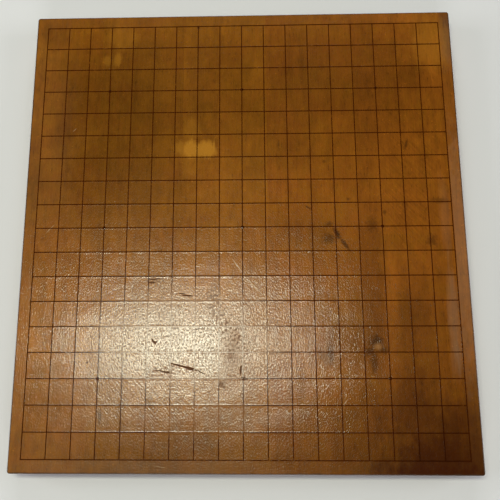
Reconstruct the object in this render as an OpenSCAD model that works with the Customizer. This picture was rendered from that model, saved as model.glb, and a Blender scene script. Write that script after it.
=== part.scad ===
// Table go board: five staves joined edge to edge over hidden dowels, with the
// playing grid drawn on the top face as raised lines of lacquer.
// X runs across the board, Y along the grain from the near edge to the far edge
// and Z up. The origin is the middle of the underside.

/* [Grid] */
// Distance between two neighbouring column lines, across the board
column_pitch = 22.25; // [21:0.05:24]
// Distance between two neighbouring row lines, along the board
row_pitch = 23.85; // [22:0.05:26]
// Wood left outside the first and last column lines
side_margin = 11.75; // [6:0.05:20]
// Wood left outside the first and last row lines
end_margin = 12.35; // [6:0.05:20]
// Width of a drawn line
line_width = 0.85; // [0.5:0.05:1.5]
// Height of a column line above the wood
column_line_height = 0.15; // [0.1:0.01:0.3]
// Height by which a row line tops the column lines that it crosses
row_line_rise = 0.05; // [0.03:0.01:0.2]
// Diameter of a star point
star_diameter = 2; // [1.5:0.1:5]
// Height by which a star point tops the row line that it sits on
star_rise = 0.1; // [0.05:0.01:0.3]

/* [Board] */
// Thickness of the board
board_thickness = 30; // [20:0.5:60]
// Radius of the four upright corners, seen from above
corner_radius = 2.5; // [2:0.1:8]
// Radius of the worn arrises round the top and the underside
arris_radius = 1; // [0.3:0.1:1.8]

/* [Staves] */
// Width of the stave at the left edge
left_edge_stave_width = 69.5; // [55:0.5:80]
// Width of the second stave from the left
left_stave_width = 83.5; // [60:0.5:95]
// Width of the middle stave
centre_stave_width = 83.5; // [60:0.5:95]
// Width of the second stave from the right, the last one takes what is left
right_stave_width = 88; // [60:0.5:100]

/* [Dowels] */
// Diameter of a dowel
dowel_diameter = 8; // [5:0.5:12]
// Length of a dowel, half of it in each stave
dowel_length = 40; // [24:1:46]
// Chamfer at both ends of a dowel
dowel_chamfer = 1; // [0.3:0.1:2]
// Number of dowels in each glue joint
dowels_per_joint = 4; // [2:1:6]
// Distance of the first and last dowel from the ends of the board
dowel_end_distance = 52; // [30:1:100]
// Glue room all round a dowel in its hole
dowel_side_clearance = 0.05; // [0.02:0.01:0.2]
// Glue room past each end of a dowel in its hole
dowel_end_clearance = 0.5; // [0.2:0.1:1]

/* [Hidden] */
// Rules of the game: lines each way, and the lines that carry star points
line_count = 19;
star_lines = [3, 9, 15];
column_letters = "abcdefghjklmnopqrst";

board_width = (line_count - 1) * column_pitch + 2 * side_margin;
board_length = (line_count - 1) * row_pitch + 2 * end_margin;
row_line_height = column_line_height + row_line_rise;
star_height = row_line_height + star_rise;

// Glue seams from left to right, and their list with the board's two outer sides
left_edge_seam_x = left_edge_stave_width - board_width / 2;
left_seam_x = left_edge_seam_x + left_stave_width;
right_seam_x = left_seam_x + centre_stave_width;
right_edge_seam_x = right_seam_x + right_stave_width;
seam_x = [
    -board_width / 2,
    left_edge_seam_x,
    left_seam_x,
    right_seam_x,
    right_edge_seam_x,
    board_width / 2
];
stave_count = len(seam_x) - 1;
dowel_spacing = (board_length - 2 * dowel_end_distance) / (dowels_per_joint - 1);

stave_names = ["left_edge_stave", "left_stave", "centre_stave", "right_stave", "right_edge_stave"];
joint_names = ["left_edge_dowels", "left_dowels", "right_dowels", "right_edge_dowels"];
function column_name(column) = str("column_line_", column_letters[column]);
function row_name(row) = str("row_line_", row + 1);
function star_name(column, row) = str("star_point_", column_letters[column], row + 1);

// Aged wood, one tone for each stave from left to right
stave_colors = ["#8a5a2b", "#90602f", "#8f5e2c", "#85501f", "#7c4a1e"];
dowel_color = "#c9a878";
lacquer_color = "#2a1a10";

// Length by which a cutter runs past the faces that it cuts
cut_over = 1;
$fn = 64;

function column_x(column) = (column - (line_count - 1) / 2) * column_pitch;
function row_y(row) = (row - (line_count - 1) / 2) * row_pitch;
function dowel_y(dowel) = dowel_end_distance - board_length / 2 + dowel * dowel_spacing;

// Rectangle about the origin with its four corners rounded
module rounded_rectangle(width, height, radius) {
    square([width - 2 * radius, height], center = true);
    square([width, height - 2 * radius], center = true);
    for (x = [-1, 1], y = [-1, 1])
        translate([x * (width / 2 - radius), y * (height / 2 - radius)]) circle(radius);
}

// One upright corner of the board: a disc as thick as the board with a rounded rim
module corner_post() {
    rotate_extrude()
        intersection() {
            rounded_rectangle(2 * corner_radius, board_thickness, arris_radius);
            translate([0, -board_thickness / 2]) square([corner_radius, board_thickness]);
        }
}

// The whole board before it is divided into staves, centred on its mid thickness
module board_blank() {
    rotate([90, 0, 90])
        linear_extrude(board_width - 2 * corner_radius, center = true)
            rounded_rectangle(board_length, board_thickness, arris_radius);
    rotate([90, 0, 0])
        linear_extrude(board_length - 2 * corner_radius, center = true)
            rounded_rectangle(board_width, board_thickness, arris_radius);
    for (x = [-1, 1], y = [-1, 1])
        translate([x * (board_width / 2 - corner_radius), y * (board_length / 2 - corner_radius), 0])
            corner_post();
}

// Blind holes for the dowels of one glue joint, reaching into both staves
module dowel_holes(seam) {
    for (dowel = [0 : dowels_per_joint - 1])
        translate([seam_x[seam], dowel_y(dowel), board_thickness / 2])
            rotate([0, 90, 0])
                cylinder(
                    d = dowel_diameter + 2 * dowel_side_clearance,
                    h = dowel_length + 2 * dowel_end_clearance,
                    center = true
                );
}

// One stave of the board, cut from the blank between two glue seams
module stave(index) {
    color(stave_colors[index])
        difference() {
            intersection() {
                translate([0, 0, board_thickness / 2]) board_blank();
                translate([seam_x[index], -board_length / 2 - cut_over, -cut_over])
                    cube([
                        seam_x[index + 1] - seam_x[index],
                        board_length + 2 * cut_over,
                        board_thickness + 2 * cut_over
                    ]);
            }
            if (index > 0) dowel_holes(index);
            if (index < stave_count - 1) dowel_holes(index + 1);
        }
}

// The dowels of one glue joint
module joint_dowels(seam) {
    radius = dowel_diameter / 2;
    half = dowel_length / 2;
    color(dowel_color)
        for (dowel = [0 : dowels_per_joint - 1])
            translate([seam_x[seam], dowel_y(dowel), board_thickness / 2])
                rotate([0, 90, 0])
                    rotate_extrude()
                        polygon([
                            [0, -half],
                            [radius - dowel_chamfer, -half],
                            [radius, dowel_chamfer - half],
                            [radius, half - dowel_chamfer],
                            [radius - dowel_chamfer, half],
                            [0, half]
                        ]);
}

// Bar of lacquer along the board, of a given height
module column_bar(column, height) {
    length = (line_count - 1) * row_pitch + line_width;
    translate([column_x(column) - line_width / 2, -length / 2, board_thickness])
        cube([line_width, length, height]);
}

// Bar of lacquer across the board, of a given height
module row_bar(row, height) {
    length = (line_count - 1) * column_pitch + line_width;
    translate([-length / 2, row_y(row) - line_width / 2, board_thickness])
        cube([length, line_width, height]);
}

// One line along the board
module column_line(column) {
    color(lacquer_color) column_bar(column, column_line_height);
}

// One line across the board, drawn over the column lines
module row_line(row) {
    color(lacquer_color)
        difference() {
            row_bar(row, row_line_height);
            for (column = [0 : line_count - 1]) column_bar(column, column_line_height);
        }
}

// One star point, dabbed over the crossing of two lines
module star_point(column, row) {
    color(lacquer_color)
        difference() {
            translate([column_x(column), row_y(row), board_thickness])
                cylinder(d = star_diameter, h = star_height);
            column_bar(column, column_line_height);
            row_bar(row, row_line_height);
        }
}

for (index = [0 : stave_count - 1])
    stave(index);
for (seam = [1 : stave_count - 1])
    joint_dowels(seam);
for (column = [0 : line_count - 1])
    column_line(column);
for (row = [0 : line_count - 1])
    row_line(row);
for (column = star_lines, row = star_lines)
    star_point(column, row);
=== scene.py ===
"""Worn table go board: five varnished staves with a playing grid of dark lacquer, on the CAD frame."""
import math
import random
from collections import namedtuple

import bpy
from mathutils import Matrix, Quaternion, Vector


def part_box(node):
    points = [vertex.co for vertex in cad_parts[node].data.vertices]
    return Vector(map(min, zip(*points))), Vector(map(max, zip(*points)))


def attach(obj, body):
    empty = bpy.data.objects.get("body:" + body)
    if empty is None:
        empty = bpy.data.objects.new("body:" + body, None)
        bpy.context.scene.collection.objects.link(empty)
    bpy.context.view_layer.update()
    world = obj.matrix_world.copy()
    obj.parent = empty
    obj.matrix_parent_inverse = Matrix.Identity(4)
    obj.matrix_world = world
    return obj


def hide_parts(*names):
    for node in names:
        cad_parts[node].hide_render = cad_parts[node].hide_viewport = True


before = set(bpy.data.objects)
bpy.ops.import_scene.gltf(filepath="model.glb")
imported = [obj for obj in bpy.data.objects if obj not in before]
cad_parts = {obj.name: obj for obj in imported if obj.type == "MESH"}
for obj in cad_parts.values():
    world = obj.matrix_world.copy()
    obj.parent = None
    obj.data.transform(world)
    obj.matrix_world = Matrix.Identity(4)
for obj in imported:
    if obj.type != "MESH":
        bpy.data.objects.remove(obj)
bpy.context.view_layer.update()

MM = 0.001

# Names of the frame's nodes
COLUMN_LETTERS = "abcdefghjklmnopqrst"
LAST_LINE = len(COLUMN_LETTERS) - 1
STAVES = ("left_edge_stave", "left_stave", "centre_stave", "right_stave", "right_edge_stave")
DOWELS = ("left_edge_dowels", "left_dowels", "right_dowels", "right_edge_dowels")
COLUMN_LINES = [f"column_line_{letter}" for letter in COLUMN_LETTERS]
ROW_LINES = [f"row_line_{number}" for number in range(1, LAST_LINE + 2)]
STAR_POINTS = [f"star_point_{letter}{number}" for letter in "dkq" for number in (4, 10, 16)]


def middle(node):
    """Centre of a node's box."""
    low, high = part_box(node)
    return (low + high) / 2


# Places taken from the frame
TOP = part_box("centre_stave")[1].z
LEFT_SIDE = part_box("left_edge_stave")[0].x
RIGHT_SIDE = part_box("right_edge_stave")[1].x
NEAR_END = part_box("centre_stave")[0].y
FAR_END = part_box("centre_stave")[1].y
LEFT_LINE = middle(COLUMN_LINES[0]).x
RIGHT_LINE = middle(COLUMN_LINES[-1]).x
NEAR_LINE = middle(ROW_LINES[0]).y
FAR_LINE = middle(ROW_LINES[-1]).y
COLUMN_PITCH = (RIGHT_LINE - LEFT_LINE) / LAST_LINE
ROW_PITCH = (FAR_LINE - NEAR_LINE) / LAST_LINE


def on_board(column, row):
    """Point of the playing face, counted in columns from the left line and rows from the far line."""
    return Vector((LEFT_LINE + column * COLUMN_PITCH, FAR_LINE - row * ROW_PITCH, TOP))


# Edges of the staves
CORNER_RADIUS = 2.5 * MM
CORNER_SEGMENTS = 6
ARRIS_RADIUS = 1.0 * MM
ARRIS_SEGMENTS = 4
SEAM_CHAMFER = 0.05 * MM
SAME_PLACE = 0.01 * MM
SMOOTH_ANGLE = math.radians(35)

# Star points: the rise of the dome above its rim, and the divisions of the ball that it is cut from
STAR_DOME = 0.06 * MM
STAR_SEGMENTS = 28
STAR_RINGS = 160

# Gouges: columns and rows of the two ends, width and depth in millimetres
Gouge = namedtuple("Gouge", "from_column from_row to_column to_row width depth")
GOUGES = (
    Gouge(6.00, 14.42, 6.98, 14.65, 1.3, 0.5),
    Gouge(6.56, 14.56, 7.06, 14.68, 1.9, 0.7),
    Gouge(7.10, 14.68, 7.40, 14.83, 0.7, 0.4),
    Gouge(5.30, 14.66, 6.00, 14.79, 0.7, 0.4),
    Gouge(5.70, 14.73, 6.04, 14.80, 1.3, 0.45),
    Gouge(6.30, 11.68, 6.56, 11.72, 0.7, 0.3),
    Gouge(6.46, 11.77, 6.88, 11.80, 1.2, 0.4),
    Gouge(5.02, 11.24, 5.30, 11.26, 1.3, 0.3),
    Gouge(5.04, 11.15, 5.50, 11.09, 1.0, 0.3),
    Gouge(5.20, 13.48, 5.36, 13.68, 1.4, 0.45),
    Gouge(5.35, 13.66, 5.43, 13.54, 0.9, 0.3),
    Gouge(6.95, 13.12, 7.25, 13.08, 0.7, 0.2),
    Gouge(8.92, 14.52, 8.90, 14.84, 1.3, 0.4),
    Gouge(8.93, 14.98, 9.16, 15.02, 1.8, 0.4),
    Gouge(2.49, 14.38, 2.55, 14.40, 1.4, 0.4),
)

# Small knocks along the arrises
KNOCK_SEED = 11
KNOCK_COUNT = 34
KNOCK_RADII = (1.0 * MM, 3.2 * MM)
KNOCK_BITE = (0.15 * MM, 0.5 * MM)
SIDE_KNOCKS = 0.5
TOP_KNOCKS = 0.7

# Divisions of the ball that cuts a gouge or a knock
HOLLOW_SEGMENTS = 20
HOLLOW_RINGS = 10

# Marks on the playing face: place in columns and rows, size across and along the board in
# millimetres, turn in degrees and strength from 0 to 1, or below 0 to lighten
Mark = namedtuple("Mark", "column row across along turn strength")
# Where a mark starts to fade and where it is gone, as shares of its half size, and how far from
# its middle, as a share of its size, its ragged edge may still reach a stave
MARK_CORE = 0.3
MARK_RIM = 1.2
MARK_REACH = 0.8

# Broad darker and lighter patches in the colour of the playing face: partly the wood's own uneven tone,
# partly painted shadow over the far part of the board and towards the near right corner, and painted
# light in the rows round the lamp's sheen
TONE_AND_PAINTED_LIGHT = (
    # Painted shadow over the far part of the board, deepest on the left
    Mark(8.8, 3.0, 440, 200, 0, 0.27),
    Mark(3.0, 3.8, 150, 200, 0, 0.27),
    Mark(2.8, 7.2, 165, 120, 0, 0.23),
    Mark(13.2, 2.0, 190, 100, 0, 0.10),
    Mark(9.0, 18.6, 500, 110, 0, 0.34),
    Mark(14.45, 11.5, 26, 200, 0, 0.22),
    Mark(14.2, 14.0, 50, 150, 0, 0.14),
    Mark(16.2, 13.6, 50, 150, 0, 0.28),
    Mark(13.6, 16.8, 90, 100, 0, 0.18),
    # Darker towards the near right corner: partly painted shadow, partly stain
    Mark(18.4, 18.5, 250, 195, 0, 0.60),
    Mark(11.7, 9.3, 70, 50, 0, 0.20),
    Mark(7.0, 3.0, 26, 150, 0, 0.14),
    Mark(0.3, 0.3, 40, 40, 0, 0.25),
    Mark(-0.3, 6.8, 22, 130, 0, 0.20),
    Mark(-0.3, 16.5, 22, 70, 0, -0.15),
    Mark(1.5, -0.3, 80, 18, 0, 0.12),
    Mark(18.4, 9.0, 22, 300, 0, -0.12),
    Mark(16.5, -0.3, 60, 18, 0, -0.28),
    Mark(9.6, 6.6, 36, 60, 0, 0.15),
    Mark(16.6, 2.5, 36, 40, 0, 0.18),
    Mark(15.6, 15.8, 40, 70, 0, 0.18),
    Mark(11.3, 16.0, 36, 70, 0, 0.14),
    # Painted light round the lamp's sheen, in this mark and the next two
    Mark(6.0, 13.2, 230, 150, 0, -0.16),
    Mark(1.0, 13.2, 150, 120, 0, -0.30),
    Mark(10.2, 13.2, 110, 110, 0, -0.12),
    Mark(15.25, 11.6, 16, 130, 0, -0.16),
    # Painted light above the lamp's sheen
    Mark(6.0, 10.95, 160, 66, 0, -0.12),
    Mark(3.6, 5.2, 60, 50, 0, -0.10),
    Mark(13.2, 13.4, 50, 60, 0, 0.16),
    Mark(16.0, 12.4, 50, 40, 0, 0.13),
    Mark(2.4, 9.0, 40, 70, 0, 0.12),
    Mark(1.6, 3.0, 34, 110, 0, 0.09),
    Mark(11.2, 5.8, 50, 44, 0, 0.12),
    Mark(7.2, 17.4, 45, 30, 0, 0.13),
    Mark(10.0, 1.2, 60, 70, 0, -0.12),
    Mark(17.5, 1.4, 30, 60, 0, -0.12),
    # Painted light below the lamp's sheen
    Mark(5.5, 15.3, 130, 40, 0, -0.10),
    Mark(4.8, 0.9, 30, 50, 0, 0.14),
    Mark(8.2, 0.4, 50, 26, 0, -0.13),
    Mark(15.6, 0.4, 44, 26, 0, -0.15),
    Mark(9.8, 2.7, 36, 50, 0, -0.13),
    Mark(17.5, 2.5, 26, 30, 0, -0.18),
    Mark(0.9, 5.1, 28, 60, 0, 0.19),
    Mark(3.1, 6.1, 34, 50, 0, -0.11),
    Mark(13.1, 4.6, 36, 36, 0, -0.12),
    Mark(16.2, 5.5, 40, 40, 0, -0.13),
    Mark(5.6, 7.1, 60, 44, 0, 0.11),
    Mark(15.2, 7.4, 50, 40, 0, -0.10),
    Mark(12.25, 11.2, 16, 110, 0, 0.15),
    Mark(17.25, 11.0, 15, 230, 0, 0.15),
    # Painted light by the left edge, level with the lamp's sheen
    Mark(0.4, 13.2, 26, 60, 0, -0.14),
    Mark(8.6, 16.4, 70, 30, 0, 0.12),
    Mark(12.6, 16.4, 70, 30, 0, 0.13),
    Mark(14.5, 17.6, 40, 34, 0, -0.18),
    Mark(18.45, 0.4, 22, 70, 0, 0.38),
    Mark(18.4, 10.6, 22, 60, 0, -0.12),
    Mark(18.4, 14.4, 22, 36, 0, -0.12),
    Mark(4.5, -0.3, 26, 18, 0, 0.15),
    Mark(14.9, -0.3, 44, 18, 0, -0.20),
    Mark(14.45, 13.6, 26, 28, 0, 0.15),
    # Painted light in the lamp's sheen
    Mark(8.5, 11.2, 28, 120, 0, -0.13),
)
# Stains, wear and other marks in the colour; the darkening of the near right corner is partly
# painted shadow, and the speckle in the lamp's sheen is partly painted dark gaps in its reflection
# Dark stain in the near right corner, partly real stain and partly painted shadow, also laid over the
# lines
CORNER_STAIN_AND_SHADOW = (
    Mark(16.7, 17.9, 90, 70, 0, 0.60),
    Mark(16.6, 18.5, 120, 36, 0, 0.75),
    Mark(17.3, 16.6, 50, 50, 0, 0.45),
    Mark(15.9, 16.3, 66, 76, 0, 0.32),
    Mark(15.75, 17.7, 16, 34, 0, 0.50),
)
SMUDGES = (
    Mark(13.05, 9.30, 6.5, 15, 25, 0.95),
    Mark(13.38, 9.74, 4.5, 18, 38, 0.80),
    Mark(12.70, 9.50, 15, 14, 0, 0.60),
    Mark(12.70, 8.90, 9, 8, 0, 0.60),
    Mark(14.55, 8.95, 14, 20, 0, 0.45),
    Mark(17.02, 9.60, 13, 15, 0, 0.55),
    Mark(17.50, 7.95, 19, 8, 0, 0.50),
    Mark(13.60, 7.85, 4, 4, 0, 0.55),
    Mark(12.60, 6.25, 4, 4, 0, 0.50),
    Mark(15.12, 8.42, 5, 5, 0, 0.55),
    Mark(10.62, 5.50, 2.6, 11, -3, 0.50),
    Mark(16.22, 5.53, 3.2, 14, -12, 0.70),
    Mark(14.50, 13.62, 15, 16, 0, 0.80),
    Mark(14.80, 13.93, 10, 8, 0, 0.60),
    Mark(14.22, 13.98, 13, 10, 0, 0.75),
    Mark(14.38, 14.40, 9, 26, 3, 0.65),
    Mark(12.60, 14.10, 9, 24, 0, 0.60),
    Mark(12.15, 14.00, 6, 16, 0, 0.40),
    Mark(3.14, 16.45, 5, 20, 0, 0.65),
    Mark(7.00, 0.05, 4, 4, 0, 0.60),
    Mark(11.85, 8.20, 2.6, 9, 60, 0.60),
)
PITTED_VARNISH = (
    Mark(7.75, 12.00, 13, 34, 0, 0.85),
    Mark(8.12, 12.75, 12, 34, 8, 0.75),
    Mark(8.75, 13.45, 13, 22, 0, 0.85),
    Mark(8.45, 14.05, 9, 10, 0, 0.80),
    Mark(8.15, 15.20, 10, 10, 0, 0.80),
    Mark(5.25, 11.20, 22, 14, 4, 0.70),
    Mark(5.60, 12.20, 16, 30, 0, 0.45),
    Mark(5.70, 14.75, 26, 14, 10, 0.50),
)
DULL_SPOTS = (
    Mark(8.70, 13.52, 9, 10, 0, 0.42),
    Mark(8.45, 14.05, 8, 7, 0, 0.42),
    Mark(8.15, 15.20, 9, 7, 0, 0.50),
    Mark(8.55, 13.95, 26, 66, 0, 0.30),
    Mark(6.70, 12.00, 7, 3, 0, 0.50),
    Mark(12.35, 14.20, 10, 24, 8, 0.45),
)
# Dark pits in the colour only where the lamp's sheen falls: dirt in the pores, and painted dark gaps in
# the reflection
SHEEN_SPECKLE_AND_PITS = (
    Mark(6.60, 13.40, 270, 150, 0, 0.85),
)
# Patches of lighter colour
PALE_PATCHES = (
    Mark(6.72, 5.62, 20, 21, 0, 0.75),
    Mark(7.42, 5.66, 22, 20, 0, 0.75),
    Mark(7.05, 5.70, 26, 18, 0, 0.70),
    Mark(6.30, 5.60, 14, 18, 0, 0.38),
    Mark(6.75, 4.80, 18, 30, 0, 0.20),
    Mark(6.75, 6.45, 18, 26, 0, 0.12),
    Mark(3.30, 1.52, 9, 17, -6, 0.32),
    Mark(2.85, 1.58, 11, 13, 0, 0.22),
    Mark(17.6, 0.9, 44, 70, 0, 0.25),
    Mark(3.5, 0.5, 40, 30, 0, 0.2),
)
KNOT_EYE = (
    Mark(14.55, 13.78, 9, 8, 25, 0.65),
)
WIPED_PATCHES = (
    Mark(16.3, 7.5, 90, 170, 0, 1.0),
    Mark(4.6, 15.8, 150, 70, 0, 1.0),
    Mark(10.2, 11.6, 90, 70, 0, 0.8),
)
# Where the skin of varnish is more uneven, below 0, or less
UNEVEN_VARNISH = (
    Mark(11.6, 13.0, 150, 420, 0, -0.40),
    Mark(17.2, 12.0, 150, 500, 0, 0.25),
)
# Lines rubbed through, and those of them that were rubbed to a shine
POLISHED_LINES = Mark(6.8, 13.4, 210, 120, 0, 1.0)
WORN_LINES = (
    POLISHED_LINES,
    Mark(7.2, 16.5, 150, 44, 0, 0.85),
    Mark(8.6, 18.0, 230, 12, 0, 0.25),
)
# Dust outside the lines, a milky haze in the varnish by the right border, and a painted reflection as a
# faint pale veil along the left side
DUSTY_BORDERS = (
    Mark(18.3, 10.0, 60, 260, 0, 0.14),
    Mark(4.5, 18.3, 260, 40, 0, 0.06),
    Mark(18.4, 0.9, 24, 70, 0, 0.09),
)
HAZE_AND_REFLECTION = (
    Mark(17.75, 12.6, 13, 105, 0, 0.15),
    Mark(17.72, 14.4, 12, 40, 0, 0.07),
    Mark(17.70, 8.6, 12, 90, 0, 0.06),
    # Painted reflection: a faint pale veil along the left side
    Mark(0.2, 6.0, 70, 400, 0, 0.03),
    Mark(0.4, 15.6, 130, 240, 0, 0.05),
)
# Fine pale scratches: columns and rows of the two ends, and strength
SCRATCH_WIDTH = 1.0
SCRATCHES = (
    (8.55, 10.30, 9.00, 10.88, 0.8),
    (9.15, 11.10, 9.85, 11.77, 0.8),
    (0.45, 9.22, 0.82, 8.84, 0.35),
    (1.40, 4.82, 1.56, 4.66, 0.25),
    (10.79, 11.52, 10.85, 11.80, 0.70),
    (10.72, 16.17, 10.86, 16.32, 0.60),
    (13.05, 16.00, 13.25, 15.76, 0.50),
    (5.33, 18.20, 5.97, 18.29, 0.22),
)
# Grains of dust caught in the varnish: their size in millimetres, columns and rows
NIB_SIZE = (2.2, 2.6)
NIBS = (
    (14.47, 11.52),
    (14.33, 12.33),
    (14.29, 13.05),
    (14.58, 16.89),
    (14.36, 15.44),
    (14.34, 15.83),
    (13.66, 16.13),
    (13.38, 15.77),
    (14.97, 15.63),
    (16.29, 15.82),
    (17.64, 16.08),
    (9.39, 2.72),
    (6.26, 8.71),
    (7.26, 9.08),
    (2.39, 7.34),
    (3.42, 7.85),
)


class Finish:
    """A material, with short calls for the nodes that its pattern is built from."""

    def __init__(self, name):
        self.material = bpy.data.materials.new(name)
        self.material.use_nodes = True
        self.tree = self.material.node_tree
        self.shader = self.tree.nodes["Principled BSDF"]
        self.place = self.node("ShaderNodeTexCoord").outputs["Object"]

    def node(self, kind, **settings):
        made = self.tree.nodes.new(kind)
        for name, value in settings.items():
            setattr(made, name, value)
        return made

    def feed(self, socket, value):
        """Puts a number, a colour or another node's output into a socket."""
        if isinstance(value, bpy.types.NodeSocket):
            self.tree.links.new(value, socket)
        elif socket.type == "RGBA":
            socket.default_value = (*value, 1)
        else:
            socket.default_value = value

    def maths(self, operation, first, second=0.0):
        made = self.node("ShaderNodeMath", operation=operation)
        self.feed(made.inputs[0], first)
        self.feed(made.inputs[1], second)
        return made.outputs[0]

    def plus(self, *values):
        total = values[0]
        for value in values[1:]:
            total = self.maths("ADD", total, value)
        return total

    def minus(self, first, second):
        return self.maths("SUBTRACT", first, second)

    def times(self, *values):
        product = values[0]
        for value in values[1:]:
            product = self.maths("MULTIPLY", product, value)
        return product

    def largest(self, values):
        result = values[0]
        for value in values[1:]:
            result = self.maths("MAXIMUM", result, value)
        return result

    def split(self, vector):
        made = self.node("ShaderNodeSeparateXYZ")
        self.feed(made.inputs[0], vector)
        return made.outputs

    def vector_maths(self, operation, first, second=(0, 0, 0)):
        made = self.node("ShaderNodeVectorMath", operation=operation)
        self.feed(made.inputs[0], first)
        self.feed(made.inputs[1], second)
        return made.outputs["Value" if operation == "LENGTH" else "Vector"]

    def joined(self, x=0.0, y=0.0, z=0.0):
        """Vector put together from three values."""
        made = self.node("ShaderNodeCombineXYZ")
        for socket, value in zip(made.inputs, (x, y, z)):
            self.feed(socket, value)
        return made.outputs[0]

    def stretched(self, place, x=1.0, y=1.0, z=1.0):
        return self.vector_maths("MULTIPLY", place, (x, y, z))

    def noise(self, place, scale, detail=2.0, roughness=0.5):
        """Cloudy pattern between 0 and 1, with scale patches to the metre."""
        made = self.node("ShaderNodeTexNoise")
        self.feed(made.inputs["Vector"], place)
        made.inputs["Scale"].default_value = scale
        made.inputs["Detail"].default_value = detail
        made.inputs["Roughness"].default_value = roughness
        return made.outputs["Fac"]

    def ripple(self, place, scale, size, detail=2.0, roughness=0.5):
        """Cloudy pattern about 0."""
        return self.times(self.minus(self.noise(place, scale, detail, roughness), 0.5), size)

    def ramp(self, value, start, end, low=0.0, high=1.0):
        """Climbs smoothly from low to high while value goes from start to end."""
        made = self.node("ShaderNodeMapRange", interpolation_type="SMOOTHSTEP")
        self.feed(made.inputs["Value"], value)
        made.inputs["From Min"].default_value = start
        made.inputs["From Max"].default_value = end
        made.inputs["To Min"].default_value = low
        made.inputs["To Max"].default_value = high
        return made.outputs["Result"]

    def blend(self, amount, first, second, mode="MIX"):
        """Colour that goes from first to second as amount goes from 0 to 1."""
        made = self.node("ShaderNodeMix", data_type="RGBA", blend_type=mode)
        self.feed(made.inputs["Factor"], amount)
        self.feed(made.inputs[6], first)
        self.feed(made.inputs[7], second)
        return made.outputs[2]

    def bump(self, height):
        """Turns a height in metres into a shading normal."""
        made = self.node("ShaderNodeBump")
        made.inputs["Strength"].default_value = 1.0
        made.inputs["Distance"].default_value = 1.0
        self.feed(made.inputs["Height"], height)
        return made.outputs["Normal"]

    def from_mark(self, mark, ragged):
        """Distance from the middle of a mark on the playing face, 1 at its ragged edge."""
        fit = self.node("ShaderNodeMapping", vector_type="TEXTURE")
        self.feed(fit.inputs["Vector"], self.place)
        fit.inputs["Location"].default_value = on_board(mark.column, mark.row)
        fit.inputs["Rotation"].default_value = (0, 0, math.radians(mark.turn))
        fit.inputs["Scale"].default_value = (mark.across * MM / 2, mark.along * MM / 2, 1)
        distance = self.vector_maths("LENGTH", fit.outputs[0])
        return self.plus(distance, ragged) if ragged else distance

    def mark(self, mark, ragged, core=MARK_CORE):
        """The mark's strength in the middle of a mark and 0 well outside it."""
        return self.ramp(self.from_mark(mark, ragged), core, MARK_RIM, mark.strength, 0.0)

    def shade(self, marks, ragged):
        """Share that a set of broad soft marks leaves of a brightness or a height."""
        share = 1.0
        for mark in marks:
            distance = self.from_mark(mark, ragged)
            share = self.times(share, self.ramp(distance, MARK_CORE, MARK_RIM, 1 - mark.strength, 1.0))
        return share


# Character of each stave: brightness, share of red, and where its growth rings are centred in
# millimetres from the middle of the stave and from the underside
StaveLook = namedtuple("StaveLook", "tone red heart_x heart_z")
STAVE_LOOKS = {
    "left_edge_stave": StaveLook(1.00, 0.35, -26, -95),
    "left_stave": StaveLook(0.97, 0.15, 18, -60),
    "centre_stave": StaveLook(1.03, 0.20, -12, -140),
    "right_stave": StaveLook(1.00, 0.65, 30, -80),
    "right_edge_stave": StaveLook(0.93, 0.90, -22, -70),
}
RING_GAP = 4.5 * MM

ORANGE_WOOD = (0.250, 0.086, 0.0045)
RED_WOOD = (0.235, 0.069, 0.0050)
# Dark reddish brown of the near right corner: stain and painted shadow
STAIN_AND_SHADOW = (0.034, 0.0045, 0.0008)
SMUDGE = (0.044, 0.014, 0.0015)
PIT = (0.110, 0.038, 0.004)
GOUGE_DIRT = (0.085, 0.028, 0.002)
PALE_PATCH_COLOUR = (0.400, 0.165, 0.014)
KNOT_WOOD = (0.300, 0.130, 0.035)
SCRATCHED = (0.550, 0.390, 0.220)
DRY_WOOD = (0.300, 0.150, 0.050)
# Darker colour painted along the top arris all round
DARK_ARRIS = (0.050, 0.028, 0.014)
# Pale colour of dust and haze, also used for the painted reflection along the left side
DUST_AND_REFLECTION = (0.300, 0.240, 0.170)
LACQUER = (0.044, 0.0078, 0.0006)
RUBBED_LACQUER = (0.20, 0.066, 0.005)
# Lacquer in the near right corner, darkened by stain and painted shadow
STAINED_AND_SHADOWED_LACQUER = (0.010, 0.002, 0.0005)
DARK_DOWEL_WOOD = (0.42, 0.27, 0.13)
PALE_DOWEL_WOOD = (0.62, 0.44, 0.25)
DUST_ON_BORDERS = 0.012

# Relief of the varnish
FIBRE_RELIEF = 0.052 * MM
FLECK_DEPTH = 0.020 * MM
SKIN_RELIEF = 0.106 * MM
WIPING_RELIEF = 0.130 * MM
WAVE_RELIEF = 0.220 * MM
NIB_HEIGHT = 0.080 * MM
COLUMN_RIDGE = 0.018 * MM
ROW_RIDGE = 0.037 * MM
LACQUER_RELIEF = 0.014 * MM
POLISHED_RELIEF = 0.040 * MM
DOWEL_RELIEF = 0.040 * MM


def streak_mark(from_column, from_row, to_column, to_row, width, strength):
    """Mark drawn out between two places."""
    start = on_board(from_column, from_row)
    end = on_board(to_column, to_row)
    turn = math.degrees(math.atan2(end.y - start.y, end.x - start.x)) - 90
    column = (from_column + to_column) / 2
    row = (from_row + to_row) / 2
    return Mark(column, row, width, (end - start).length / MM * 1.1, turn, strength)


def marks_on(stave, marks):
    """The marks that reach a stave."""
    low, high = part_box(stave)
    reaching = []
    for mark in marks:
        width = max(mark.across, mark.along) if mark.turn else mark.across
        reach = width * MM * MARK_REACH
        if low.x - reach < on_board(mark.column, mark.row).x < high.x + reach:
            reaching.append(mark)
    return reaching


Grain = namedtuple("Grain", "own sway fibres bands flecks clouds mottle skin pits hairs")
Faces = namedtuple("Faces", "top under end")
# A kind of mark in the finish: its core, its edge, how much of it covers and how dull it is
Layer = namedtuple("Layer", "marks colour core edge cover dullness")


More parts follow.
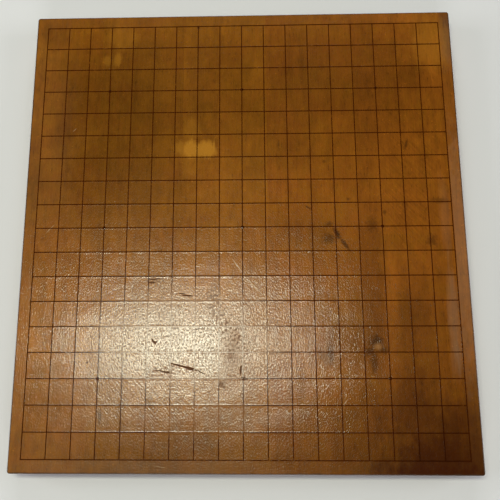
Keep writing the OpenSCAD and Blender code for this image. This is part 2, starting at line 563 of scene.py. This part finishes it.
def wiping_marks(wood, stave):
    """Faint slanting hairlines where the varnish was rubbed with a cloth."""
    turned = wood.node("ShaderNodeMapping")
    wood.feed(turned.inputs["Vector"], wood.place)
    turned.inputs["Rotation"].default_value = (0, 0, math.radians(-40))
    hairs = wood.ripple(wood.stretched(turned.outputs[0], y=1 / 14), 700, 0.5, 1)
    masks = [wood.mark(mark, 0.0) for mark in marks_on(stave, WIPED_PATCHES)]
    return wood.times(hairs, wood.largest(masks)) if masks else 0.0


def grain_of(wood, stave):
    """Patterns of a stave's wood, drawn out along the board and bent a little."""
    number = STAVES.index(stave)
    own = wood.vector_maths("ADD", wood.place, (number * 0.37, number * 1.3, 0))
    sway = wood.ripple(own, 7, 9 * MM, 1)
    bent = wood.vector_maths("ADD", own, wood.joined(sway))
    swirl = wood.joined(wood.ripple(wood.stretched(wood.place, x=0.3), 25, 22 * MM, 1))
    skin = wood.noise(wood.stretched(wood.vector_maths("ADD", wood.place, swirl), y=0.55), 1000, 0.6)
    return Grain(
        own=own,
        sway=sway,
        fibres=wood.noise(wood.stretched(bent, y=1 / 40), 900, 4, 0.65),
        bands=wood.noise(wood.stretched(bent, y=1 / 14), 70, 3),
        flecks=wood.noise(wood.stretched(bent, y=1 / 5), 800, 2),
        clouds=wood.noise(wood.place, 17, 3),
        mottle=wood.noise(wood.stretched(wood.place, y=0.55), 140, 4, 0.65),
        skin=skin,
        pits=wood.ramp(skin, 0.48, 0.37),
        hairs=wiping_marks(wood, stave),
    )


def faces_of(wood):
    """How much a face looks up, down or to one of the ends."""
    normal = wood.split(wood.node("ShaderNodeNewGeometry").outputs["Normal"])
    return Faces(
        top=wood.ramp(normal["Z"], 0.3, 0.8),
        under=wood.ramp(normal["Z"], -0.3, -0.8),
        end=wood.ramp(wood.maths("ABSOLUTE", normal["Y"]), 0.4, 0.85),
    )


def late_wood(wood, stave, grain):
    """Dark part of the growth rings round the heart of the log."""
    look = STAVE_LOOKS[stave]
    low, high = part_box(stave)
    heart = ((low.x + high.x) / 2 + look.heart_x * MM, 0, look.heart_z * MM)
    from_heart = wood.stretched(wood.vector_maths("SUBTRACT", wood.place, heart), y=0)
    uneven = wood.plus(wood.times(grain.sway, 0.8), wood.times(grain.mottle, 2 * MM))
    radius = wood.plus(wood.vector_maths("LENGTH", from_heart), uneven)
    ring = wood.maths("FRACT", wood.maths("DIVIDE", radius, RING_GAP))
    return wood.times(wood.ramp(ring, 0.3, 0.85), wood.ramp(ring, 1.0, 0.9))


def bare_wood(wood, stave, grain, faces):
    """Colour of the wood under its varnish, before any stain, with painted shadow and painted light from
    the broad shades.
    """
    look = STAVE_LOOKS[stave]
    specks = wood.ramp(wood.noise(wood.place, 520, 1), 0.70, 0.78)
    saw_marks = wood.ripple(wood.stretched(wood.place, x=1 / 40), 210, 0.22, 2)
    tone = wood.plus(
        look.tone * 0.89,
        wood.times(wood.minus(grain.fibres, 0.5), 0.40),
        wood.times(wood.minus(grain.bands, 0.5), 0.30),
        wood.times(wood.minus(grain.clouds, 0.5), 0.40),
        wood.times(wood.minus(grain.mottle, 0.5), 0.55),
        wood.times(late_wood(wood, stave, grain), wood.plus(wood.times(faces.end, -0.16), -0.06)),
        wood.times(wood.ramp(grain.flecks, 0.56, 0.72), -0.2),
        wood.times(specks, 0.4),
        wood.times(faces.end, -0.3),
        wood.times(faces.under, saw_marks),
        wood.times(faces.top, grain.hairs),
    )
    soft_edge = wood.ripple(wood.stretched(wood.place, y=0.5), 190, 0.28, 3, 0.6)
    # The broad shades: the wood's uneven tone, with painted shadow over the far part and the near right
    # corner and painted light round the lamp's sheen
    shade = wood.shade(marks_on(stave, TONE_AND_PAINTED_LIGHT), soft_edge)
    tone = wood.times(tone, wood.plus(1.0, wood.times(faces.top, wood.minus(shade, 1.0))))
    fine_redness = wood.ripple(wood.stretched(grain.own, y=0.4), 260, 1.4, 2)
    redness = wood.plus(look.red, wood.ripple(grain.own, 30, 1.6, 3), fine_redness)
    redness = wood.maths("MINIMUM", wood.maths("MAXIMUM", redness, 0.0), 1.0)
    colour = wood.blend(redness, ORANGE_WOOD, RED_WOOD)
    colour = wood.blend(wood.times(faces.under, 0.75), colour, DRY_WOOD)
    return wood.blend(1.0, colour, wood.joined(tone, tone, tone), "MULTIPLY")


def off_grid(wood, start=0.0):
    """1 on the border outside the lines and 0 inside them, starting a given way past the outer lines."""
    x, y = wood.split(wood.place)[:2]
    beyond_sides = wood.minus(wood.maths("ABSOLUTE", x), RIGHT_LINE)
    beyond_ends = wood.minus(wood.maths("ABSOLUTE", y), FAR_LINE)
    return wood.ramp(wood.maths("MAXIMUM", beyond_sides, beyond_ends), start, start + 1.5 * MM)


def at_arris(wood, grain):
    """1 on the worn edge all round the top and 0 a little way in."""
    x, y = wood.split(wood.place)[:2]
    to_side = wood.minus(RIGHT_SIDE, wood.maths("ABSOLUTE", x))
    to_end = wood.minus(FAR_END, wood.maths("ABSOLUTE", y))
    uneven = wood.times(wood.minus(grain.mottle, 0.5), 1.5 * MM)
    return wood.ramp(wood.plus(wood.maths("MINIMUM", to_side, to_end), uneven), 1.9 * MM, 0.5 * MM)


def soiled_wood(wood, stave, grain, faces, colour):
    """Colour with dust, stains, smudges, wear and a darker top arris on it, with painted shadow in the
    near right corner, a painted reflection along the left side and painted dark gaps in the lamp's
    sheen, and how dull these leave the varnish.
    """
    ragged = wood.ripple(wood.stretched(wood.place, y=0.5), 190, 1.1, 3, 0.6)
    streaky = wood.ripple(wood.stretched(grain.own, y=1 / 10), 420, 0.9, 2)
    torn = wood.ripple(wood.place, 380, 1.7, 3, 0.65)
    dots = wood.ramp(wood.noise(wood.place, 430, 1), 0.52, 0.62)
    dusty = [0.0] + [wood.mark(mark, ragged) for mark in marks_on(stave, DUSTY_BORDERS)]
    dust_and_reflection = wood.times(off_grid(wood), wood.plus(DUST_ON_BORDERS, wood.largest(dusty)))
    # Haze by the right border, and a painted reflection as a pale veil along the left side
    for mark in marks_on(stave, HAZE_AND_REFLECTION):
        dust_and_reflection = wood.plus(dust_and_reflection, wood.mark(mark, streaky))
    colour = wood.blend(wood.times(dust_and_reflection, faces.top), colour, DUST_AND_REFLECTION)
    gouges = [streak_mark(*gouge[:4], gouge.width * 1.4, 0.95) for gouge in GOUGES]
    scratches = [streak_mark(*ends, SCRATCH_WIDTH, strength) for *ends, strength in SCRATCHES]
    layers = (
        Layer(PALE_PATCHES, PALE_PATCH_COLOUR, 0.45, wood.plus(wood.times(torn, 0.3), streaky), 1.0, 0.0),
        # Stain and painted shadow in the near right corner
        Layer(CORNER_STAIN_AND_SHADOW, STAIN_AND_SHADOW, 0.2, ragged, 1.0, 0.0),
        Layer(SMUDGES, SMUDGE, 0.2, torn, 1.0, 0.0),
        # Dirt in the pores and painted dark gaps in the lamp's sheen
        Layer(SHEEN_SPECKLE_AND_PITS, PIT, 0.3, ragged, grain.pits, 0.24),
        Layer(PITTED_VARNISH, PIT, 0.6, ragged, dots, 0.35),
        Layer(DULL_SPOTS, PIT, 0.1, wood.times(torn, 0.5), 1.0, 0.3),
        Layer(KNOT_EYE, KNOT_WOOD, 0.2, wood.times(torn, 0.6), 1.0, 0.0),
        Layer(gouges, GOUGE_DIRT, 0.85, wood.times(torn, 0.25), 1.0, 0.8),
        Layer(scratches, SCRATCHED, 0.3, wood.times(torn, 0.2), 1.0, 0.0),
    )
    dull = 0.0
    for layer in layers:
        masks = [wood.mark(mark, layer.edge, layer.core) for mark in marks_on(stave, layer.marks)]
        if masks:
            mask = wood.times(wood.largest(masks), faces.top, layer.cover)
            colour = wood.blend(mask, colour, layer.colour)
            dull = wood.plus(dull, wood.times(mask, layer.dullness))
    # The top arris is painted darker all round
    colour = wood.blend(wood.times(at_arris(wood, grain), faces.top, 0.8), colour, DARK_ARRIS)
    return colour, dull


def varnish_height(wood, stave, grain, faces):
    """Open grain, an uneven skin of varnish, and varnish drawn up at the lines, in metres."""
    x, y = wood.split(wood.place)[:2]
    to_column = wood.maths("PINGPONG", wood.minus(x, LEFT_LINE), COLUMN_PITCH / 2)
    past_row = wood.maths("FLOORED_MODULO", wood.minus(y, NEAR_LINE - ROW_PITCH / 2), ROW_PITCH)
    past_row = wood.minus(past_row, ROW_PITCH / 2)
    at_column = wood.ramp(to_column, 1.3 * MM, 0.4 * MM, 0.0, COLUMN_RIDGE)
    far_of_row = wood.ramp(past_row, 1.3 * MM, 0.4 * MM, 0.0, ROW_RIDGE)
    near_of_row = wood.ramp(past_row, -2.1 * MM, -0.4 * MM)
    at_line = wood.maths("MAXIMUM", at_column, wood.times(far_of_row, near_of_row))
    peel = wood.shade(marks_on(stave, UNEVEN_VARNISH), 0.0)
    nib_marks = [Mark(column, row, *NIB_SIZE, 0, 1.0) for column, row in NIBS]
    nibs = [0.0] + [wood.mark(mark, 0.0, 0.0) for mark in marks_on(stave, nib_marks)]
    return wood.plus(
        wood.times(grain.fibres, peel, FIBRE_RELIEF),
        wood.times(wood.ramp(grain.flecks, 0.52, 0.7), -FLECK_DEPTH),
        wood.times(grain.skin, peel, SKIN_RELIEF),
        wood.times(grain.hairs, WIPING_RELIEF),
        wood.times(wood.largest(nibs), faces.top, NIB_HEIGHT),
        wood.times(wood.noise(wood.place, 60, 2), WAVE_RELIEF),
        wood.times(at_line, faces.top, wood.minus(1.0, off_grid(wood, -3.5 * MM))),
    )


def stave_wood(stave):
    """Aged, varnished wood of one stave: lengthwise grain, rings on the ends, stains and wear, with
    painted shadow and painted light in its colour.
    """
    wood = Finish(f"{stave} wood")
    grain = grain_of(wood, stave)
    faces = faces_of(wood)
    colour, dull = soiled_wood(wood, stave, grain, faces, bare_wood(wood, stave, grain, faces))
    rough = wood.plus(
        0.15,
        wood.times(grain.clouds, 0.06),
        wood.times(grain.pits, 0.05),
        dull,
        wood.times(faces.end, 0.2),
        wood.times(faces.under, 0.35),
    )
    wood.feed(wood.shader.inputs["Base Color"], colour)
    wood.feed(wood.shader.inputs["Roughness"], rough)
    wood.feed(wood.shader.inputs["Normal"], wood.bump(varnish_height(wood, stave, grain, faces)))
    return wood.material


def line_lacquer():
    """Dark brown lacquer of the lines, rubbed through to the wood in places, and darker in the near
    right corner from stain and painted shadow.
    """
    lacquer = Finish("line lacquer")
    ragged = lacquer.ripple(lacquer.place, 140, 1.0, 4, 0.7)
    worn = lacquer.largest([lacquer.mark(mark, ragged) for mark in WORN_LINES])
    polished = lacquer.mark(POLISHED_LINES, ragged)
    rubbed = lacquer.ramp(lacquer.plus(ragged, lacquer.times(worn, 0.4)), 0.08, 0.3)
    colour = lacquer.blend(lacquer.times(rubbed, 0.85), LACQUER, RUBBED_LACQUER)
    # Lines darker in the near right corner: stain and painted shadow
    stain_and_shadow = lacquer.largest([lacquer.mark(mark, ragged, 0.2) for mark in CORNER_STAIN_AND_SHADOW])
    colour = lacquer.blend(stain_and_shadow, colour, STAINED_AND_SHADOWED_LACQUER)
    skin = lacquer.noise(lacquer.place, 1000, 1.5)
    lacquer.feed(lacquer.shader.inputs["Base Color"], colour)
    lacquer.feed(lacquer.shader.inputs["Roughness"], lacquer.plus(0.14, lacquer.times(rubbed, 0.03)))
    unevenness = lacquer.plus(LACQUER_RELIEF, lacquer.times(polished, POLISHED_RELIEF))
    lacquer.feed(lacquer.shader.inputs["Normal"], lacquer.bump(lacquer.times(skin, unevenness)))
    lacquer.feed(lacquer.shader.inputs["Coat Weight"], lacquer.times(polished, rubbed, 0.22))
    lacquer.shader.inputs["Coat Roughness"].default_value = 0.18
    lacquer.shader.inputs["Specular IOR Level"].default_value = 0.17
    return lacquer.material


def dowel_wood():
    """Bare turned hardwood with its grain along the dowel."""
    wood = Finish("dowel wood")
    fibres = wood.noise(wood.stretched(wood.place, x=1 / 30), 900, 3, 0.6)
    wood.feed(wood.shader.inputs["Base Color"], wood.blend(fibres, DARK_DOWEL_WOOD, PALE_DOWEL_WOOD))
    wood.feed(wood.shader.inputs["Roughness"], wood.plus(0.55, wood.times(fibres, 0.15)))
    wood.feed(wood.shader.inputs["Normal"], wood.bump(wood.times(fibres, DOWEL_RELIEF)))
    return wood.material


def select_edges(piece, wanted):
    """Enters edit mode with just those edges selected whose two ends pass a test."""
    bpy.ops.object.mode_set(mode="EDIT")
    bpy.ops.mesh.select_mode(type="EDGE")
    bpy.ops.mesh.select_all(action="DESELECT")
    bpy.ops.object.mode_set(mode="OBJECT")
    for edge in piece.data.edges:
        first, second = (piece.data.vertices[index].co for index in edge.vertices)
        edge.select = wanted(first, second)
    bpy.ops.object.mode_set(mode="EDIT")


def bevel_edges(piece, wanted, size, segments):
    """Rounds or chamfers the edges that pass a test."""
    select_edges(piece, wanted)
    bpy.ops.mesh.bevel(offset=size, segments=segments, affect="EDGES")
    bpy.ops.object.mode_set(mode="OBJECT")


def near(value, place):
    return abs(value - place) < SAME_PLACE


def model_stave(node):
    """A stave with rounded outer corners and arrises, and a fine chamfer along its glue seams."""
    low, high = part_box(node)
    bpy.ops.object.select_all(action="DESELECT")
    bpy.ops.mesh.primitive_cube_add(size=1, location=(low + high) / 2, scale=high - low)
    stave = bpy.context.object
    stave.name = node.replace("stave", "plank")
    bpy.ops.object.transform_apply(location=True, rotation=True, scale=True)
    outer_sides = [side for side in (LEFT_SIDE, RIGHT_SIDE) if near(low.x, side) or near(high.x, side)]
    seams = [side for side in (low.x, high.x) if not any(near(side, outer) for outer in outer_sides)]

    def on_outer_corner(first, second):
        upright = near(first.x, second.x) and near(first.y, second.y)
        return upright and any(near(first.x, side) for side in outer_sides)

    def along_seam(first, second):
        return any(near(first.x, seam) and near(second.x, seam) for seam in seams)

    def on_arris(first, second):
        level = near(first.z, second.z) and (near(first.z, low.z) or near(first.z, high.z))
        return level and not along_seam(first, second)

    def on_top_seam(first, second):
        return along_seam(first, second) and near(first.z, high.z) and near(second.z, high.z)

    bevel_edges(stave, on_outer_corner, CORNER_RADIUS, CORNER_SEGMENTS)
    bevel_edges(stave, on_arris, ARRIS_RADIUS, ARRIS_SEGMENTS)
    bevel_edges(stave, on_top_seam, SEAM_CHAMFER, 1)
    return stave


def overlap(piece, low, high):
    """Whether a piece's box meets another box."""
    corners = [Vector(corner) for corner in piece.bound_box]
    least = [min(corner[i] for corner in corners) for i in range(3)]
    most = [max(corner[i] for corner in corners) for i in range(3)]
    return all(least[i] < high[i] and most[i] > low[i] for i in range(3))


def carve(pieces, centre, half_sizes, turn=0.0):
    """Cuts a rounded hollow out of the pieces that it reaches."""
    bpy.ops.object.select_all(action="DESELECT")
    bpy.ops.mesh.primitive_uv_sphere_add(
        segments=HOLLOW_SEGMENTS,
        ring_count=HOLLOW_RINGS,
        radius=1,
        location=centre,
        rotation=(0, 0, turn),
        scale=half_sizes,
    )
    cutter = bpy.context.object
    reach = Vector((max(half_sizes),) * 3)
    for piece in pieces:
        if not overlap(piece, centre - reach, centre + reach):
            continue
        bpy.ops.object.select_all(action="DESELECT")
        piece.select_set(True)
        bpy.context.view_layer.objects.active = piece
        cut = piece.modifiers.new("hollow", "BOOLEAN")
        cut.operation = "DIFFERENCE"
        cut.solver = "EXACT"
        cut.object = cutter
        bpy.ops.object.modifier_apply(modifier=cut.name)
    bpy.data.objects.remove(cutter)


def carve_gouges(staves):
    """Long shallow hollows in the playing face."""
    for gouge in GOUGES:
        start = on_board(gouge.from_column, gouge.from_row)
        end = on_board(gouge.to_column, gouge.to_row)
        along = end - start
        half_sizes = (along.length / 2, gouge.width * MM / 2, gouge.depth * MM)
        carve(staves, (start + end) / 2, half_sizes, math.atan2(along.y, along.x))


def carve_knocks(staves):
    """Small knocks at chance places along the arrises, more of them on top than underneath."""
    chance = random.Random(KNOCK_SEED)
    for _ in range(KNOCK_COUNT):
        size = chance.uniform(*KNOCK_RADII)
        bite = chance.uniform(*KNOCK_BITE)
        out = (size + ARRIS_RADIUS * (math.sqrt(2) - 1) - bite) / math.sqrt(2)
        if chance.random() < SIDE_KNOCKS:
            x = chance.choice((LEFT_SIDE - out, RIGHT_SIDE + out))
            y = chance.uniform(NEAR_END, FAR_END)
        else:
            x = chance.uniform(LEFT_SIDE, RIGHT_SIDE)
            y = chance.choice((NEAR_END - out, FAR_END + out))
        z = TOP + out if chance.random() < TOP_KNOCKS else -out
        carve(staves, Vector((x, y, z)), (size, size, size))


def finish_stave(stave, node, material):
    """Smooths a carved stave, varnishes it and puts it in place of its node."""
    bpy.ops.object.select_all(action="DESELECT")
    stave.select_set(True)
    bpy.context.view_layer.objects.active = stave
    bpy.ops.object.shade_smooth_by_angle(angle=SMOOTH_ANGLE)
    even = stave.modifiers.new("even normals", "WEIGHTED_NORMAL")
    even.keep_sharp = True
    even.weight = 100
    bpy.ops.object.modifier_apply(modifier=even.name)
    stave.data.materials.clear()
    stave.data.materials.append(material)
    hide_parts(node)
    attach(stave, "root")


def model_star_point(node):
    """A dab of lacquer: the flat cap of a large ball on a short upright rim."""
    low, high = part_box(node)
    half_width = (high.x - low.x) / 2
    ball = (half_width ** 2 + STAR_DOME ** 2) / (2 * STAR_DOME)
    centre = Vector(((low.x + high.x) / 2, (low.y + high.y) / 2, high.z - ball))
    rim = high.z - STAR_DOME
    bpy.ops.object.select_all(action="DESELECT")
    bpy.ops.mesh.primitive_uv_sphere_add(
        segments=STAR_SEGMENTS, ring_count=STAR_RINGS, radius=ball, location=centre
    )
    star = bpy.context.object
    star.name = node.replace("point", "dab")
    bpy.ops.object.transform_apply(location=True, rotation=True, scale=True)
    bpy.ops.object.mode_set(mode="EDIT")
    bpy.ops.mesh.select_all(action="SELECT")
    bpy.ops.mesh.bisect(plane_co=(0, 0, rim), plane_no=(0, 0, 1), clear_inner=True, use_fill=True)
    bpy.ops.mesh.select_mode(type="FACE")
    bpy.ops.mesh.select_all(action="DESELECT")
    bpy.ops.object.mode_set(mode="OBJECT")
    for face in star.data.polygons:
        face.select = face.normal.z < -0.9
    bpy.ops.object.mode_set(mode="EDIT")
    bpy.ops.mesh.extrude_region_move(TRANSFORM_OT_translate={"value": (0, 0, low.z - rim)})
    bpy.ops.mesh.select_all(action="SELECT")
    bpy.ops.mesh.normals_make_consistent(inside=False)
    bpy.ops.object.mode_set(mode="OBJECT")
    bpy.ops.object.shade_smooth_by_angle(angle=SMOOTH_ANGLE)
    return star


def copy_star_point(star, from_node, to_node):
    """The same dab at another crossing, with its own mesh."""
    bpy.ops.object.select_all(action="DESELECT")
    star.select_set(True)
    bpy.context.view_layer.objects.active = star
    bpy.ops.object.duplicate()
    copy = bpy.context.object
    copy.name = to_node.replace("point", "dab")
    copy.location = middle(to_node) - middle(from_node)
    bpy.ops.object.transform_apply(location=True, rotation=True, scale=True)
    return copy


def finish_star_point(star, node, material):
    """Puts a dab of lacquer in place of its node."""
    star.data.materials.append(material)
    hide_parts(node)
    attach(star, "root")


def dress(nodes, material):
    """Gives CAD nodes a finish."""
    for node in nodes:
        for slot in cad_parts[node].material_slots:
            slot.material = material


# Studio: a pale floor, four softboxes round the board and a wide ceiling lamp
FLOOR_COLOUR = (0.66, 0.655, 0.67)
FLOOR_SIZE = 8
WORLD_STRENGTH = 0.06
SOFTBOX_SIZE = (1.0, 1.0)
SOFTBOX_DISTANCE = 1.7
SOFTBOX_HEIGHT = 0.9
SOFTBOX_WATTS = 14
CEILING_HEIGHT = 1.3
LAMP_SIZE = (0.435, 0.13)
LAMP_WATTS = 8.0
LAMP_COLOUR = (0.95, 1.0, 0.79)
# Column and row of the board where the camera sees the lamp reflected
LAMP_SHEEN = (6.52, 13.70)

# Camera: fitted to the grid in the photograph, which is a crop with the lens's axis left of its middle
CAMERA_PLACE = Vector((0.0041, -0.1748, 0.6491 + TOP))
CAMERA_TARGET = Vector((-0.0174, -0.0199, TOP))
CAMERA_ROLL = math.radians(0.102)
CAMERA_SHIFT = (0.0515, -0.0054)
CAMERA_LENS = 50.4
CAMERA_SENSOR = 36


def add_floor():
    bpy.ops.object.select_all(action="DESELECT")
    bpy.ops.mesh.primitive_plane_add(size=FLOOR_SIZE)
    floor = bpy.context.object
    floor.name = "floor"
    paint = Finish("pale floor")
    paint.shader.inputs["Base Color"].default_value = (*FLOOR_COLOUR, 1)
    paint.shader.inputs["Roughness"].default_value = 0.9
    paint.shader.inputs["Specular IOR Level"].default_value = 0.1
    floor.data.materials.append(paint.material)


def add_softbox(name, place, target, size, watts, colour=(1, 1, 1)):
    light = bpy.data.lights.new(name, "AREA")
    light.shape = "RECTANGLE"
    light.size, light.size_y = size
    light.energy = watts
    light.color = colour
    lamp = bpy.data.objects.new(name, light)
    lamp.location = place
    lamp.rotation_mode = "QUATERNION"
    lamp.rotation_quaternion = (target - place).to_track_quat("-Z", "Y")
    bpy.context.collection.objects.link(lamp)


def add_ceiling_lamp():
    """Lamp at the ceiling that the camera sees reflected at one place of the board."""
    spot = on_board(*LAMP_SHEEN)
    to_camera = CAMERA_PLACE - spot
    mirrored = Vector((-to_camera.x, -to_camera.y, to_camera.z))
    place = spot + mirrored * (CEILING_HEIGHT / mirrored.z)
    below = Vector((place.x, place.y, TOP))
    add_softbox("ceiling lamp", place, below, LAMP_SIZE, LAMP_WATTS, LAMP_COLOUR)


def add_lights():
    world = bpy.data.worlds.new("studio")
    world.use_nodes = True
    world.node_tree.nodes["Background"].inputs["Strength"].default_value = WORLD_STRENGTH
    bpy.context.scene.world = world
    for quarter in range(4):
        turn = math.radians(90 * quarter)
        outwards = Vector((math.cos(turn), math.sin(turn), 0))
        place = outwards * SOFTBOX_DISTANCE + Vector((0, 0, SOFTBOX_HEIGHT))
        add_softbox(f"softbox {quarter}", place, Vector((0, 0, TOP)), SOFTBOX_SIZE, SOFTBOX_WATTS)
    add_ceiling_lamp()


def add_camera():
    data = bpy.data.cameras.new("camera")
    data.sensor_width = CAMERA_SENSOR
    data.lens = CAMERA_LENS
    data.shift_x, data.shift_y = CAMERA_SHIFT
    camera = bpy.data.objects.new("camera", data)
    camera.location = CAMERA_PLACE
    camera.rotation_mode = "QUATERNION"
    back = (CAMERA_PLACE - CAMERA_TARGET).normalized()
    right = Vector((0, 1, 0)).cross(back).normalized()
    level = Matrix((right, back.cross(right), back)).transposed().to_quaternion()
    camera.rotation_quaternion = level @ Quaternion((0, 0, 1), CAMERA_ROLL)
    bpy.context.collection.objects.link(camera)
    bpy.context.scene.camera = camera


bpy.context.scene.view_settings.view_transform = "Standard"
add_camera()
add_lights()
add_floor()

staves = [model_stave(node) for node in STAVES]
carve_gouges(staves)
carve_knocks(staves)
for stave, node in zip(staves, STAVES):
    finish_stave(stave, node, stave_wood(node))

lacquer = line_lacquer()
first_star = model_star_point(STAR_POINTS[0])
stars = [first_star] + [copy_star_point(first_star, STAR_POINTS[0], node) for node in STAR_POINTS[1:]]
for star, node in zip(stars, STAR_POINTS):
    finish_star_point(star, node, lacquer)
dress(COLUMN_LINES + ROW_LINES, lacquer)
dress(DOWELS, dowel_wood())
